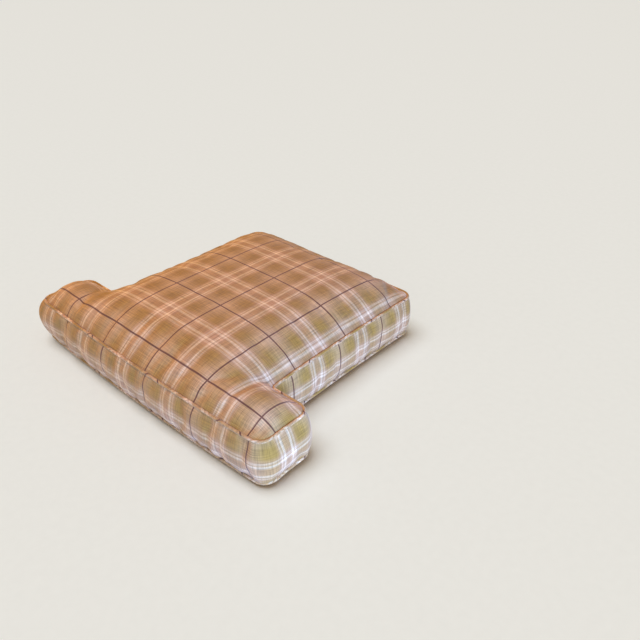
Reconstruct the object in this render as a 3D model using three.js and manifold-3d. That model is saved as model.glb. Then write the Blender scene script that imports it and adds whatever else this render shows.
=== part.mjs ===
// A loose T-shaped seat cushion for an armchair, in millimetres, +Z up.
// It is a boxed and welted fabric cover with a zipper in its rear boxing, around a removable inner
// pad: a cotton casing, fibre padding and a foam core. The front faces -Y. The origin is the middle
// of the underside of the bounding box.
import * as THREE from "three";
import { mergeVertices } from "three/addons/utils/BufferGeometryUtils.js";
import Module from "manifold-3d";

const wasm = await Module();
wasm.setup();

// ---- Plan: the seam line that both welts follow, seen from above, with its front at y = 0 ----
const FRONT_WIDTH = 750; // across the two ears, which lie in front of the chair's arms
const STEM_WIDTH = 530; // between the chair's arms
const DEPTH = 610;
const EAR_DEPTH = 130;
const CORNER_RADIUS = 28;
const NOTCH_RADIUS = 10; // inside corner between an ear and the stem

// ---- Height ----
const BOTTOM_CROWN = 12; // from the lower seam down to the flat underside
const SEAM_SPACING = 98; // between the two seams
const TOP_CROWN = 58; // from the upper seam to the middle of the top
const TOP_SHOULDER = 44; // distance over which the top rounds off
const BOTTOM_SHOULDER = 20;
const TOP_FULLNESS = 1.02; // over 1, a shoulder reaches its full crown before the middle
const BOTTOM_FULLNESS = 1.1;

// ---- Boxing: how far it swells past the seam line at the middle of its height ----
const FRONT_SWELL = 15;
const SIDE_SWELL = 12;
const EAR_BACK_SWELL = 8;
const REAR_SWELL = 10;
const CORNER_SWELL = 9;
const NOTCH_SWELL = 3;
const CASING_INSIDE = 3; // how far the casing's wall lies inside the boxing's
const CASING_INSIDE_REAR = 7; // more at the rear, where the slider runs between them

// ---- Fabric, welt and seam allowances ----
const FABRIC = 1.2;
const SLOPED_FABRIC = 1.6; // the fabric's height where it lies on the slope of a crown
const PANEL_INSET = 4; // from the seam line to the fold of a panel
const FOLD_WIDTH = 4.4;
const ALLOWANCE_END = 13; // how far the seam allowances reach inwards
const ALLOWANCE_GAP = 1.6; // from the seam's mid-plane to the nearest allowance of a panel
const BOXING_FOLD = 4.6; // from the seam line in to where the boxing's allowance starts
const BOXING_CLEAR = 4.3; // from the seam's mid-plane down to the top of the boxing's arc
const WELT_RADIUS = 3.4;
const WELT_BORE = 2.4;
const WELT_SLOT = 0.15; // half the slot between the two layers of the welt's flange
const FILLER_RADIUS = 2;
const PIECE_GAP = 0.3; // half the gap between two pieces that are sewn end to end

// ---- Inner pad ----
const CASING_INSET = 15;
const BAND_CLEAR = 6.5; // from the seams' mid-planes to the casing's band
const COTTON = 1;
const CASING_TURN = 5.6; // how far its panels turn down past the seam's height
const CASING_DROP = 2.9; // below the cover's outer surface
const PAD_INSET = 17;
const PAD_DROP = 5.2;
const FOAM_INSET = 19;
const FOAM_HEIGHT = 94;
const FOAM_BEVEL = 5;
const LAYER_GAP = 0.4;

// ---- Zipper: out is measured from the seam line, towards the rear ----
const CHAIN_LENGTH = 434;
const TAPE_LENGTH = 470;
const REAR_BOXING_LENGTH = 462;
const PLACKET_HALF = 5.5; // half the opening between the two hems
const HEM_WIDTH = 7.5;
const HEM_OUT = 7.6; // inner face of the folded hem
const TAPE_OUT = [6.6, 7.3];
const TAPE_SPAN = [0.9, 14.9]; // above and below the zipper's middle
const COIL_OUT = [7.6, 9.9];
const COIL_SPAN = [0.7, 3.1];
const COIL_ROUNDING = 0.5;
const SLIDER_LENGTH = 12;
const SLIDER_HALF_WIDTH = 4.7;
const SLIDER_MOUTH = 5; // from its widest place to its mouth
const SLIDER_MOUTH_ROUNDING = 2;
const SLIDER_TAPER = 0.8; // how much narrower each side of its tail is
const SLIDER_CLEARANCE = 1; // between the slider and the top stops when it is closed
const INNER_PLATE_OUT = [5.2, 6.3];
const OUTER_PLATE_OUT = [10.3, 11.5];
const FLANGE_OUT = 7.7;
const FLANGE_WIDTH = 1.2;
const FLANGE_ENDS = [-4, 3]; // along the slider, from its middle
const POST_HALF = 0.35;
const POST_ENDS = [0, 3];
const MEMBER_LAP = 0.5; // how far the slider's members run into each other
const POINT_GAP = 0.01; // keeps two of its faces from falling on the same plane
const BRIDGE_HALF_LENGTH = 3.6;
const BRIDGE_BAR = 1.0;
const BRIDGE_HALF_WIDTH = 0.8;
const BRIDGE_TOP_OUT = 15;
const PULL_AXIS_OUT = 12.9;
const PULL_THICKNESS = 1.0;
const PULL_LENGTH = 24;
const PULL_HALF_WIDTH = 2.6;
const PULL_EYE = [0.5, 4.7]; // the eye's opening, from the pull's axis
const PULL_EYE_HALF = 1.25;
const PULL_EYE_RIM = 0.9;
const PULL_SHOULDER = 3; // over which it widens from its eye
const PULL_HOLE_RADIUS = 1.2;
const STOP_LENGTH = 3;

// ---- Fineness ----
const CORNER_STEPS = 3; // along the arc of an outer corner
const NOTCH_STEPS = 2; // along the arc of a notch's corner
const ARC_STEPS = 3; // from the middle of a swelling wall to its seam
const CLOSEST_STATIONS = 1; // a wall's end takes the place of any station nearer than this
// Distances in from the side and rear seams that carry grid lines, closer where the crown curves
// most, and those from the notch into the ear and back past it.
const SIDE_LINES = [60, 105, 180];
const REAR_LINES = [...SIDE_LINES, 250, 365];
const UNDER_LINE = 63;
const BESIDE_NOTCH = 40;
const BEHIND_NOTCH = 25;

// ---- Values that follow ----
const halfFront = FRONT_WIDTH / 2;
const halfStem = STEM_WIDTH / 2;
const lowerSeam = BOTTOM_CROWN;
const upperSeam = lowerSeam + SEAM_SPACING;
const middle = (lowerSeam + upperSeam) / 2;
const sliderHome = CHAIN_LENGTH / 2 - SLIDER_LENGTH / 2 - SLIDER_CLEARANCE; // when closed

const cushion = new THREE.Group();

const MATERIALS = {
  plaid: material(0xbf9468, 0.95, 0),
  cotton: material(0xe6dfcf, 0.95, 0),
  fibre: material(0xf4f3ef, 1, 0),
  foam: material(0xe9dcae, 0.9, 0),
  cord: material(0xe9e4d6, 0.9, 0),
  tape: material(0xb99d79, 0.85, 0),
  nylon: material(0xa98c66, 0.45, 0),
  metal: material(0xb08d57, 0.3, 0.9),
};

function material(color, roughness, metalness) {
  return new THREE.MeshStandardMaterial({ color, roughness, metalness });
}

function add(name, geometry, look) {
  const mesh = new THREE.Mesh(geometry, MATERIALS[look]);
  mesh.name = name;
  cushion.add(mesh);
  return mesh;
}

function geometryOf(points, triangles) {
  const geometry = new THREE.BufferGeometry();
  geometry.setAttribute("position", new THREE.Float32BufferAttribute(points.flat(), 3));
  geometry.setIndex(triangles.flat());
  return geometry;
}

// ---- The seam line as stations: places on it, each with its outward direction ----

// Anticlockwise from the front left. "after" is the swell in the middle of the wall that follows.
const CORNERS = [
  corner(-halfFront, 0, CORNER_RADIUS, CORNER_SWELL, FRONT_SWELL, 5),
  corner(halfFront, 0, CORNER_RADIUS, CORNER_SWELL, SIDE_SWELL, 2),
  corner(halfFront, EAR_DEPTH, CORNER_RADIUS, CORNER_SWELL, EAR_BACK_SWELL, 1),
  corner(halfStem, EAR_DEPTH, NOTCH_RADIUS, NOTCH_SWELL, SIDE_SWELL, 4),
  corner(halfStem, DEPTH, CORNER_RADIUS, REAR_SWELL, REAR_SWELL, 1),
  corner(-halfStem, DEPTH, CORNER_RADIUS, REAR_SWELL, SIDE_SWELL, 4),
  corner(-halfStem, EAR_DEPTH, NOTCH_RADIUS, NOTCH_SWELL, EAR_BACK_SWELL, 1),
  corner(-halfFront, EAR_DEPTH, CORNER_RADIUS, CORNER_SWELL, SIDE_SWELL, 2),
];

function corner(x, y, radius, swell, after, wallSteps) {
  const inside = y === DEPTH ? CASING_INSIDE_REAR : CASING_INSIDE;
  return { at: new THREE.Vector2(x, y), radius, swell, after, wallSteps, inside };
}

// The stations of one corner's arc. A notch turns the other way, so its arc lies outside the seam.
function arcStations(index) {
  const { at, radius, swell, inside } = CORNERS[index];
  const before = CORNERS[(index + CORNERS.length - 1) % CORNERS.length].at;
  const next = CORNERS[(index + 1) % CORNERS.length].at;
  const arriving = at.clone().sub(before).normalize();
  const leaving = next.clone().sub(at).normalize();
  const turn = Math.sign(arriving.cross(leaving));
  const steps = turn > 0 ? CORNER_STEPS : NOTCH_STEPS;
  const centre = at.clone().addScaledVector(arriving, -radius);
  centre.addScaledVector(outwardOf(arriving), -turn * radius);
  return Array.from({ length: steps + 1 }, (_, i) => {
    const angle = (turn * (i / steps) * Math.PI) / 2;
    const along = arriving.clone().rotateAround(new THREE.Vector2(), angle);
    const outward = outwardOf(along);
    return { at: centre.clone().addScaledVector(outward, turn * radius), outward, swell, inside };
  });
}

function outwardOf(direction) {
  return new THREE.Vector2(direction.y, -direction.x);
}

function mixStations(a, b, share) {
  return {
    at: a.at.clone().lerp(b.at, share),
    outward: a.outward.clone().lerp(b.outward, share).normalize(),
    swell: THREE.MathUtils.lerp(a.swell, b.swell, share),
    inside: THREE.MathUtils.lerp(a.inside, b.inside, share),
  };
}

// The whole seam line, anticlockwise, with each station's distance along it.
function seamStations(withWalls) {
  const arcs = CORNERS.map((_, index) => arcStations(index));
  const stations = arcs.flatMap((arc, index) => {
    const { after, wallSteps } = CORNERS[index];
    const start = arc.at(-1);
    const end = arcs[(index + 1) % arcs.length][0];
    const wall = [];
    for (let i = 1; withWalls && i < wallSteps; i++) {
      const share = i / wallSteps;
      const station = mixStations(start, end, share);
      station.swell += (after - (start.swell + end.swell) / 2) * 4 * share * (1 - share);
      wall.push(station);
    }
    return [...arc, ...wall];
  });
  let distance = 0;
  stations.forEach((station, i) => {
    if (i) distance += station.at.distanceTo(stations[i - 1].at);
    station.distance = distance;
  });
  return stations;
}

const seam = seamStations(true);
const plainSeam = seamStations(false); // the arcs alone, for pieces that don't swell
const seamLength = seam.at(-1).distance + seam.at(-1).at.distanceTo(seam[0].at);

// The stations from one distance along the seam to another, going on past the start.
function stretch(from, to) {
  const laps = [0, 1, 2].flatMap((lap) =>
    seam.map((station) => ({ ...station, distance: station.distance + lap * seamLength })),
  );
  const at = (distance) => {
    const next = laps.findIndex((station) => station.distance > distance);
    const [a, b] = [laps[next - 1], laps[next]];
    return mixStations(a, b, (distance - a.distance) / (b.distance - a.distance));
  };
  const inner = laps.filter(
    ({ distance }) => distance > from + CLOSEST_STATIONS && distance < to - CLOSEST_STATIONS,
  );
  return [at(from), ...inner, at(to)];
}

// The distance along the seam of its station nearest to a point.
function distanceAt(x, y) {
  const target = new THREE.Vector2(x, y);
  const found = seam.reduce((best, station) =>
    station.at.distanceTo(target) < best.at.distanceTo(target) ? station : best,
  );
  return found.distance + found.outward.x * (y - found.at.y) - found.outward.y * (x - found.at.x);
}

// A section of (out, z) points, anticlockwise, carried along the stations, as a ring or with ends.
function sweep(stations, sectionOf, closed) {
  const rings = stations.map((station) =>
    sectionOf(station).map(([out, z]) => [
      station.at.x + out * station.outward.x,
      station.at.y + out * station.outward.y,
      z,
    ]),
  );
  const count = rings[0].length;
  const triangles = [];
  for (let i = 0; i < stations.length - (closed ? 0 : 1); i++) {
    const here = i * count;
    const next = ((i + 1) % stations.length) * count;
    for (let j = 0; j < count; j++) {
      const k = (j + 1) % count;
      // Each quad is cut from its lower point here to its upper one there, so that the faces of
      // nested layers are cut alike.
      const rising = rings[i][k][2] > rings[i][j][2];
      if (rising) triangles.push([here + j, next + j, next + k], [here + j, next + k, here + k]);
      else triangles.push([here + j, next + j, here + k], [next + j, next + k, here + k]);
    }
  }
  if (!closed) {
    const last = (stations.length - 1) * count;
    const contour = sectionOf(stations[0]).map(([out, z]) => new THREE.Vector2(out, z));
    for (const [a, b, c] of THREE.ShapeUtils.triangulateShape(contour, [])) {
      triangles.push([a, b, c], [last + a, last + c, last + b]);
    }
  }
  return geometryOf(rings.flat(), triangles);
}

// ---- Crowned panels: a grid over the T, with rounded outer corners ----

const CORNER_LINES = [0, 0.5, 1]; // shares of a corner's square that carry grid lines

function sorted(values) {
  return [...new Set(values)].sort((a, b) => a - b);
}

// Grid lines between the corners, the same for every layer of a stack. Those beyond the notch run
// through the ears alone.
const EAR_LINES = {
  x: [halfStem, halfStem + BESIDE_NOTCH],
  y: [EAR_DEPTH / 2, EAR_DEPTH, EAR_DEPTH + BEHIND_NOTCH],
};
const TOP_LINES = {
  x: [0, ...SIDE_LINES.map((line) => halfStem - line), ...EAR_LINES.x],
  y: [...EAR_LINES.y, ...REAR_LINES.map((line) => DEPTH - line)],
};
const UNDER_LINES = {
  x: [0, halfStem - UNDER_LINE, ...EAR_LINES.x],
  y: [...EAR_LINES.y, DEPTH - UNDER_LINE],
};
const PLAIN_LINES = { x: [0], y: [] };

// The T inset by some distance: its points, its cells and its edge, anticlockwise.
function teeGrid(inset, lines) {
  const near = (edge) => CORNER_LINES.map((share) => edge - inset - share * (CORNER_RADIUS - inset));
  const right = [...near(halfFront), ...near(halfStem), ...lines.x];
  const xs = sorted([...right, ...right.map((x) => -x)]);
  const front = near(0).map((y) => -y);
  const ys = sorted([...front, ...near(EAR_DEPTH), ...near(DEPTH), ...lines.y]);
  const ear = ys.indexOf(EAR_DEPTH - inset);
  const notch = [xs.indexOf(-halfStem + inset), xs.indexOf(halfStem - inset)];
  const inTee = (i, j) => j <= ear || (i >= notch[0] && i <= notch[1]);
  const index = new Map();
  const points = [];
  xs.forEach((x, i) =>
    ys.forEach((y, j) => {
      if (!inTee(i, j)) return;
      index.set(`${i},${j}`, points.length);
      points.push(rounded(x, y, inset));
    }),
  );
  const at = (i, j) => index.get(`${i},${j}`);
  const cells = [];
  for (let i = 0; i < xs.length - 1; i++) {
    for (let j = 0; j < ys.length - 1; j++) {
      const cell = [at(i, j), at(i + 1, j), at(i + 1, j + 1), at(i, j + 1)];
      if (cell.every((v) => v !== undefined)) cells.push(cell);
    }
  }
  const [lastX, lastY] = [xs.length - 1, ys.length - 1];
  const turns = [
    [0, 0],
    [lastX, 0],
    [lastX, ear],
    [notch[1], ear],
    [notch[1], lastY],
    [notch[0], lastY],
    [notch[0], ear],
    [0, ear],
  ];
  const edge = turns.flatMap(([i, j], n) => walk(i, j, ...turns[(n + 1) % turns.length], at));
  return { points, cells, edge };
}

// The grid points from one turn of the edge up to the next, without the last.
function walk(i, j, toI, toJ, at) {
  const steps = Math.max(Math.abs(toI - i), Math.abs(toJ - j));
  return Array.from({ length: steps }, (_, n) =>
    at(i + Math.sign(toI - i) * n, j + Math.sign(toJ - j) * n),
  );
}

// Bends the square at each outer corner of the T into a quarter disc.
const PAST_EDGE = 1.01; // lets a point on the square's own edge through
function rounded(x, y, inset) {
  const size = CORNER_RADIUS - inset;
  const corners = [
    [halfFront, 0, -1],
    [halfFront, EAR_DEPTH, 1],
    [halfStem, DEPTH, 1],
  ];
  for (const [cornerX, cornerY, side] of corners) {
    const centre = [cornerX - CORNER_RADIUS, cornerY - side * CORNER_RADIUS];
    const u = (Math.abs(x) - centre[0]) / size;
    const v = (side * (y - centre[1])) / size;
    if (u > 0 && v > 0 && u < PAST_EDGE && v < PAST_EDGE) {
      const across = centre[0] + size * u * Math.sqrt(1 - (v * v) / 2);
      return [Math.sign(x) * across, centre[1] + side * size * v * Math.sqrt(1 - (u * u) / 2)];
    }
  }
  return [x, y];
}

// How far a panel swells: each edge of the T holds it down, less so with distance from that edge.
function crown(x, y, height, shoulder, fullness) {
  const behindEars = Math.max(y - EAR_DEPTH, 0);
  const beforeNotches = Math.max(EAR_DEPTH - y, 0);
  const fromSides = [x, -x].flatMap((across) => [
    Math.hypot(halfFront - across, behindEars),
    Math.hypot(Math.max(halfStem - across, 0), beforeNotches),
  ]);
  const shares = [y, DEPTH - y, ...fromSides].map((distance) => 1 - Math.exp(-distance / shoulder));
  return height * Math.min(1, shares.reduce((product, share) => product * share, fullness));
}

// Heights of the cover's outer surface above and below.
const topSurface = (x, y) => upperSeam + crown(x, y, TOP_CROWN, TOP_SHOULDER, TOP_FULLNESS);
const underSurface = (x, y) =>
  lowerSeam - crown(x, y, BOTTOM_CROWN, BOTTOM_SHOULDER, BOTTOM_FULLNESS);

// A closed sheet: an outer grid, loops round its edge, and an inner grid. side is 1 where the outer
// grid faces up and -1 where it faces down. Each layer has an inset and a height z(x, y).
function sheet(side, outer, loops, inner) {
  const lines = side > 0 ? TOP_LINES : UNDER_LINES;
  const points = [];
  const triangles = [];
  const quad = (a, b, c, d, flip) => {
    const height = (v) => side * points[v][2];
    // Cut along the fuller diagonal, so that every layer creases alike.
    const halves =
      height(a) + height(c) >= height(b) + height(d)
        ? [[a, b, c], [a, c, d]]
        : [[a, b, d], [b, c, d]];
    triangles.push(...(flip ? halves.map((half) => half.reverse()) : halves));
  };
  const rings = [outer, ...loops, inner].map((layer) => {
    const grid = teeGrid(layer.inset, lines);
    const used = loops.includes(layer) ? grid.edge : grid.points.keys();
    const placed = new Map();
    for (const v of used) {
      const [x, y] = grid.points[v];
      placed.set(v, points.length);
      points.push([x, y, layer.z(x, y)]);
    }
    const faces = loops.includes(layer) ? [] : grid.cells;
    const facesDown = layer === outer ? side < 0 : side > 0;
    faces.forEach((cell) => quad(...cell.map((v) => placed.get(v)), facesDown));
    return grid.edge.map((v) => placed.get(v));
  });
  rings.slice(1).forEach((ring, r) =>
    ring.forEach((a, n) => {
      const m = (n + 1) % ring.length;
      quad(a, ring[m], rings[r][m], rings[r][n], side < 0);
    }),
  );
  return geometryOf(points, triangles);
}

// A surface moved inwards by some distance, straight down or up.
function below(surface, side, drop) {
  return (x, y) => surface(x, y) - side * drop;
}

// A panel of the cover: its edge turns in under the welt and ends in a seam allowance.
function coverPanel(side, surface, seamHeight) {
  const allowance = [ALLOWANCE_GAP, ALLOWANCE_GAP + FABRIC];
  return sheet(
    side,
    { inset: PANEL_INSET, z: surface },
    allowance.map((rise) => ({ inset: ALLOWANCE_END, z: () => seamHeight + side * rise })),
    { inset: PANEL_INSET + FOLD_WIDTH, z: below(surface, side, SLOPED_FABRIC) },
  );
}

// A panel of the cotton casing: it follows the cover's, and its edge turns down over the pad.
function casingPanel(side, surface, seamHeight) {
  const wall = [CASING_INSET, CASING_INSET + COTTON];
  return sheet(
    side,
    { inset: wall[0], z: below(surface, side, CASING_DROP) },
    wall.map((inset) => ({ inset, z: () => seamHeight - side * CASING_TURN })),
    { inset: wall[1], z: below(surface, side, CASING_DROP + SLOPED_FABRIC) },
  );
}

// The padding between a casing panel and the flat face of the foam.
function fibrePad(side, surface, foamFace) {
  return sheet(side, { inset: PAD_INSET, z: below(surface, side, PAD_DROP) }, [], {
    inset: PAD_INSET,
    z: () => foamFace + side * LAYER_GAP,
  });
}

// ---- Boxing and band sections ----

// Points of a swelling wall, from its middle up to its top seam.
function wallArc(start, reach, halfHeight, from = 0) {
  return Array.from({ length: ARC_STEPS + 1 }, (_, i) => {
    const angle = from + ((Math.PI / 2 - from) * i) / ARC_STEPS;
    return [start + reach * Math.cos(angle), middle + halfHeight * Math.sin(angle)];
  });
}

const flipped = (points) => points.map(([out, z]) => [out, 2 * middle - z]).reverse();

// The seam allowance at the top of the boxing, from its outer face round to its inner one.
const boxingAllowance = [
  [-BOXING_FOLD, upperSeam - ALLOWANCE_GAP],
  [-ALLOWANCE_END, upperSeam - ALLOWANCE_GAP],
  [-ALLOWANCE_END, upperSeam - ALLOWANCE_GAP - FABRIC],
  [-BOXING_FOLD - FABRIC, upperSeam - ALLOWANCE_GAP - FABRIC],
];
const BOXING_START = -3; // where its arc starts, from the seam line
const BOXING_HALF = SEAM_SPACING / 2 - BOXING_CLEAR;

function boxingSection({ swell }) {
  const reach = swell - BOXING_START;
  const outer = wallArc(BOXING_START, reach, BOXING_HALF);
  const inner = wallArc(BOXING_START - FABRIC, reach, BOXING_HALF - FABRIC).reverse();
  const upper = [...outer, ...boxingAllowance, ...inner];
  return [...upper, ...flipped(upper).slice(1, -1)];
}

// The upper strip of the rear boxing: a hem folded in along the zipper, and a seam allowance.
function placketSection({ swell }) {
  const reach = swell - BOXING_START;
  const hemStart = Math.asin(PLACKET_HALF / BOXING_HALF);
  const hemEnd = Math.asin((PLACKET_HALF + HEM_WIDTH) / (BOXING_HALF - FABRIC));
  const outer = wallArc(BOXING_START, reach, BOXING_HALF, hemStart);
  const inner = wallArc(BOXING_START - FABRIC, reach, BOXING_HALF - FABRIC, hemEnd).reverse();
  const hem = [
    [HEM_OUT, middle + PLACKET_HALF + HEM_WIDTH],
    [HEM_OUT, middle + PLACKET_HALF],
  ];
  return [...outer, ...boxingAllowance, ...inner, ...hem];
}

function casingBandSection({ swell, inside }) {
  const reach = swell - inside + CASING_INSET;
  const half = SEAM_SPACING / 2 - BAND_CLEAR;
  const outer = wallArc(-CASING_INSET, reach, half);
  const inner = wallArc(-CASING_INSET, reach - FABRIC, half - FABRIC).reverse();
  const upper = [...outer, ...inner];
  return [...upper, ...flipped(upper).slice(1, -1)];
}

function fibreBandSection({ swell, inside }) {
  const reach = swell - inside + CASING_INSET - FABRIC - LAYER_GAP;
  const half = SEAM_SPACING / 2 - BAND_CLEAR - FABRIC - LAYER_GAP;
  const outer = wallArc(-CASING_INSET, reach, half);
  const inner = [-FOAM_INSET + 2 * LAYER_GAP, middle + half];
  return [...flipped(outer).slice(0, -1), ...outer, inner, ...flipped([inner])];
}

// ---- Welts: a folded bias strip round a filler cord, with a flange sewn into the seam ----

const WELT_ANGLES = [-120, -60, 0, 60, 120].map(THREE.MathUtils.degToRad);
const around = (radius, seamHeight) => (angle) => [
  radius * Math.cos(angle),
  seamHeight + radius * Math.sin(angle),
];

function weltCoverSection(seamHeight) {
  const flange = ALLOWANCE_GAP - PIECE_GAP;
  const root = -Math.sqrt(WELT_RADIUS ** 2 - flange ** 2);
  return [
    [-ALLOWANCE_END, seamHeight - flange],
    [root, seamHeight - flange],
    ...WELT_ANGLES.map(around(WELT_RADIUS, seamHeight)),
    [root, seamHeight + flange],
    [-ALLOWANCE_END, seamHeight + flange],
    [-ALLOWANCE_END, seamHeight + WELT_SLOT],
    [-WELT_BORE, seamHeight + WELT_SLOT],
    ...[...WELT_ANGLES].reverse().map(around(WELT_BORE, seamHeight)),
    [-WELT_BORE, seamHeight - WELT_SLOT],
    [-ALLOWANCE_END, seamHeight - WELT_SLOT],
  ];
}

function fillerSection(seamHeight) {
  return [...WELT_ANGLES, Math.PI].map(around(FILLER_RADIUS, seamHeight));
}

// ---- Zipper pieces ----

// A box from its spans along x, out from the rear seam line, and z above the zipper's middle.
function zipperBox(x, out, z) {
  const geometry = new THREE.BoxGeometry(x[1] - x[0], out[1] - out[0], z[1] - z[0]);
  return geometry.translate(
    (x[0] + x[1]) / 2,
    DEPTH + (out[0] + out[1]) / 2,
    middle + (z[0] + z[1]) / 2,
  );
}

function solidOf(geometry) {
  const bare = geometry.clone().deleteAttribute("normal").deleteAttribute("uv");
  const merged = mergeVertices(bare, 1e-4);
  return new wasm.Manifold(
    new wasm.Mesh({
      numProp: 3,
      vertProperties: merged.attributes.position.array,
      triVerts: new Uint32Array(merged.index.array),
    }),
  );
}

function united(geometries) {
  const solid = geometries.map(solidOf).reduce((sum, one) => sum.add(one));
  const mesh = solid.getMesh();
  const geometry = new THREE.BufferGeometry();
  geometry.setAttribute("position", new THREE.BufferAttribute(mesh.vertProperties, 3));
  geometry.setIndex(new THREE.BufferAttribute(mesh.triVerts, 1));
  return geometry;
}

// One half of the coil chain, as a bar with the coil's rounded outline.
function coilBar(side) {
  const [near, far] = COIL_SPAN;
  const [back, front] = COIL_OUT;
  const round = COIL_ROUNDING;
  const shape = new THREE.Shape();
  shape.moveTo(back, side * near);
  shape.lineTo(front - round, side * near);
  shape.quadraticCurveTo(front, side * near, front, side * (near + round));
  shape.lineTo(front, side * (far - round));
  shape.quadraticCurveTo(front, side * far, front - round, side * far);
  shape.lineTo(back, side * far);
  const options = { depth: CHAIN_LENGTH, bevelEnabled: false, curveSegments: 2 };
  const geometry = new THREE.ExtrudeGeometry(shape, options);
  // Turns the extrusion from +z to +x: out stays along y, and side along z.
  geometry.applyMatrix4(new THREE.Matrix4().set(0, 0, 1, 0, 1, 0, 0, 0, 0, 1, 0, 0, 0, 0, 0, 1));
  return geometry.translate(-CHAIN_LENGTH / 2, DEPTH, middle);
}

// A flat plate of the slider, wider at its mouth than at its tail, drawn in x and z.
function sliderPlate([back, front]) {
  const half = SLIDER_LENGTH / 2;
  const shape = new THREE.Shape();
  const wide = SLIDER_HALF_WIDTH;
  shape.moveTo(half - SLIDER_MOUTH_ROUNDING, -wide);
  shape.quadraticCurveTo(half, -wide, half, 0);
  shape.quadraticCurveTo(half, wide, half - SLIDER_MOUTH_ROUNDING, wide);
  shape.lineTo(half - SLIDER_MOUTH, wide);
  shape.lineTo(-half, wide - SLIDER_TAPER);
  shape.lineTo(-half, -wide + SLIDER_TAPER);
  shape.lineTo(half - SLIDER_MOUTH, -wide);
  const options = { depth: front - back, bevelEnabled: false, curveSegments: 4 };
  const geometry = new THREE.ExtrudeGeometry(shape, options);
  return geometry.rotateX(Math.PI / 2).translate(sliderHome, DEPTH + front, middle);
}

function slider() {
  const ends = (from, to) => [sliderHome + from, sliderHome + to];
  const flange = [SLIDER_HALF_WIDTH - FLANGE_WIDTH, SLIDER_HALF_WIDTH - POINT_GAP];
  const flanges = [flange, [-flange[1], -flange[0]]];
  const outer = OUTER_PLATE_OUT[1];
  const under = BRIDGE_TOP_OUT - BRIDGE_BAR;
  const width = [-BRIDGE_HALF_WIDTH, BRIDGE_HALF_WIDTH];
  const leg = [BRIDGE_HALF_LENGTH - BRIDGE_BAR, BRIDGE_HALF_LENGTH];
  const legOut = [outer - MEMBER_LAP, BRIDGE_TOP_OUT];
  const intoPlate = OUTER_PLATE_OUT[0] + MEMBER_LAP;
  const postOut = [INNER_PLATE_OUT[1] - MEMBER_LAP, intoPlate];
  const topHalf = leg[0] + MEMBER_LAP;
  return united([
    sliderPlate(OUTER_PLATE_OUT),
    sliderPlate(INNER_PLATE_OUT),
    zipperBox(ends(...POST_ENDS), postOut, [-POST_HALF, POST_HALF]),
    ...flanges.map((z) => zipperBox(ends(...FLANGE_ENDS), [FLANGE_OUT, intoPlate], z)),
    zipperBox(ends(leg[0], leg[1]), legOut, width),
    zipperBox(ends(-leg[1], -leg[0]), legOut, width),
    zipperBox(ends(-topHalf, topHalf), [under, BRIDGE_TOP_OUT], width),
  ]);
}

// The pull lies towards -x at rest. Its eye hangs on the slider's bridge by the bar at its end.
function pull() {
  const shape = new THREE.Shape();
  const eyeHalf = PULL_EYE_HALF + PULL_EYE_RIM;
  const shoulder = -PULL_EYE[1] - PULL_SHOULDER;
  const end = -PULL_LENGTH + PULL_HALF_WIDTH;
  shape.moveTo(PULL_EYE[0], eyeHalf);
  shape.lineTo(-PULL_EYE[1], eyeHalf);
  shape.lineTo(shoulder, PULL_HALF_WIDTH);
  shape.lineTo(end, PULL_HALF_WIDTH);
  shape.absarc(end, 0, PULL_HALF_WIDTH, Math.PI / 2, Math.PI * 1.5);
  shape.lineTo(shoulder, -PULL_HALF_WIDTH);
  shape.lineTo(-PULL_EYE[1], -eyeHalf);
  shape.lineTo(PULL_EYE[0], -eyeHalf);
  const eye = new THREE.Path();
  eye.moveTo(-PULL_EYE[0], PULL_EYE_HALF);
  eye.lineTo(-PULL_EYE[1], PULL_EYE_HALF);
  eye.lineTo(-PULL_EYE[1], -PULL_EYE_HALF);
  eye.lineTo(-PULL_EYE[0], -PULL_EYE_HALF);
  const hole = new THREE.Path();
  hole.absarc(end, 0, PULL_HOLE_RADIUS, 0, 2 * Math.PI);
  shape.holes.push(eye, hole);
  const options = { depth: PULL_THICKNESS, bevelEnabled: false, curveSegments: 4 };
  const geometry = new THREE.ExtrudeGeometry(shape, options).rotateX(Math.PI / 2);
  return geometry.translate(sliderHome, DEPTH + PULL_AXIS_OUT + PULL_THICKNESS / 2, middle);
}

// ---- Cover ----

add("top_panel", coverPanel(1, topSurface, upperSeam), "plaid");
add("bottom_panel", coverPanel(-1, underSurface, lowerSeam), "plaid");

// The front boxing runs round both ears; its end seams hide in the notches behind them.
const leftNotchEnd = distanceAt(-halfStem - NOTCH_RADIUS, EAR_DEPTH);
const rightNotchStart = distanceAt(halfStem + NOTCH_RADIUS, EAR_DEPTH) + seamLength;
const rightRearEnd = distanceAt(REAR_BOXING_LENGTH / 2, DEPTH);
const leftRearEnd = distanceAt(-REAR_BOXING_LENGTH / 2, DEPTH);
const rightNotch = rightNotchStart - seamLength;

function boxing(name, from, to, sectionOf) {
  add(name, sweep(stretch(from + PIECE_GAP, to - PIECE_GAP), sectionOf, false), "plaid");
}
boxing("front_boxing", leftNotchEnd, rightNotchStart, boxingSection);
boxing("right_side_boxing", rightNotch, rightRearEnd, boxingSection);
boxing("left_side_boxing", leftRearEnd, leftNotchEnd, boxingSection);
boxing("rear_boxing_upper", rightRearEnd, leftRearEnd, placketSection);
boxing("rear_boxing_lower", rightRearEnd, leftRearEnd, (station) => flipped(placketSection(station)));

for (const [name, height] of [
  ["top", upperSeam],
  ["bottom", lowerSeam],
]) {
  add(`${name}_welt_cover`, sweep(plainSeam, () => weltCoverSection(height), true), "plaid");
  add(`${name}_welt_filler_cord`, sweep(plainSeam, () => fillerSection(height), true), "cord");
}

// ---- Zipper ----

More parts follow.
